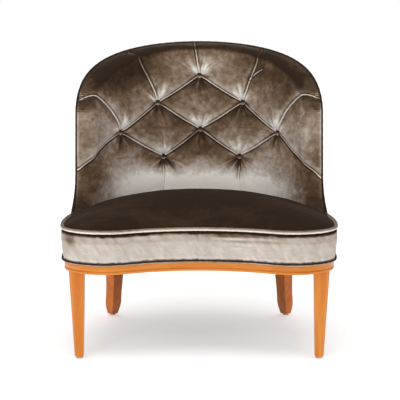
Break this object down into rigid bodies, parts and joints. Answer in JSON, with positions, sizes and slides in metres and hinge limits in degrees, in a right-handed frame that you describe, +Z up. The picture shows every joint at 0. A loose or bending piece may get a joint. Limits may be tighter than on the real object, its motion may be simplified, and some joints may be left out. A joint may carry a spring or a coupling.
{
  "type": "slipper chair",
  "caption": "Low armless slipper chair with a kidney-shaped crowned seat, a curved barrel back buttoned in diamonds, a show-wood band and tapered wooden legs.",
  "frame": {"origin": "on the floor, under the middle of the chair's width and length", "axes": "+X to the right as seen from the front, +Y towards the back of the chair, +Z up"},
  "size_m": [0.706, 0.66, 0.776],
  "materials": {
    "velvet": "silk velvet pile, taupe, darker against the nap",
    "show_wood": "honey varnish",
    "leg_wood": "honey varnish, satin",
    "beech": "planed, unfinished",
    "spring_steel": "oiled wire",
    "screw_steel": "plain",
    "glide_steel": "nickelled",
    "hessian": "coarse jute weave",
    "wadding": "cotton felt",
    "filling": "hair and cotton",
    "dust_cloth": "black cambric",
    "twine": "waxed linen"
  },
  "bodies": {
    "root": {"front_leg_left": "leg_wood", "front_leg_right": "leg_wood", "rear_leg_left": "leg_wood", "rear_leg_right": "leg_wood", "leg_glides": "glide_steel", "show_rail_front": "show_wood", "show_rail_back": "show_wood", "show_rail_left": "show_wood", "show_rail_right": "show_wood", "seat_rail_front": "beech", "seat_rail_back": "beech", "seat_rail_left": "beech", "seat_rail_right": "beech", "corner_blocks": "beech", "corner_block_screws": "screw_steel", "tenon_pins": "beech", "seat_springs": "spring_steel", "spring_clips": "screw_steel", "spring_clip_screws": "screw_steel", "spring_ties": "spring_steel", "seat_deck": "hessian", "seat_edge_pad": "filling", "seat_pad": "filling", "seat_cover": "velvet", "seat_boxing": "velvet", "seat_welt_upper": "velvet", "seat_welt_lower": "velvet", "dust_cover": "dust_cloth", "dust_cover_tacks": "screw_steel", "back_lower_rail": "beech", "wing_board_right": "beech", "wing_board_left": "beech", "crest_rail": "beech", "back_post_right": "beech", "back_post_left": "beech", "back_dowels": "beech", "back_hessian": "hessian", "back_pad": "filling", "outside_back_wadding": "wadding", "outside_back_cover": "velvet", "inside_back_cover": "velvet", "back_welt": "velvet", "tufting_buttons": "velvet", "tufting_twines": "twine"}
  },
  "joints": []
}
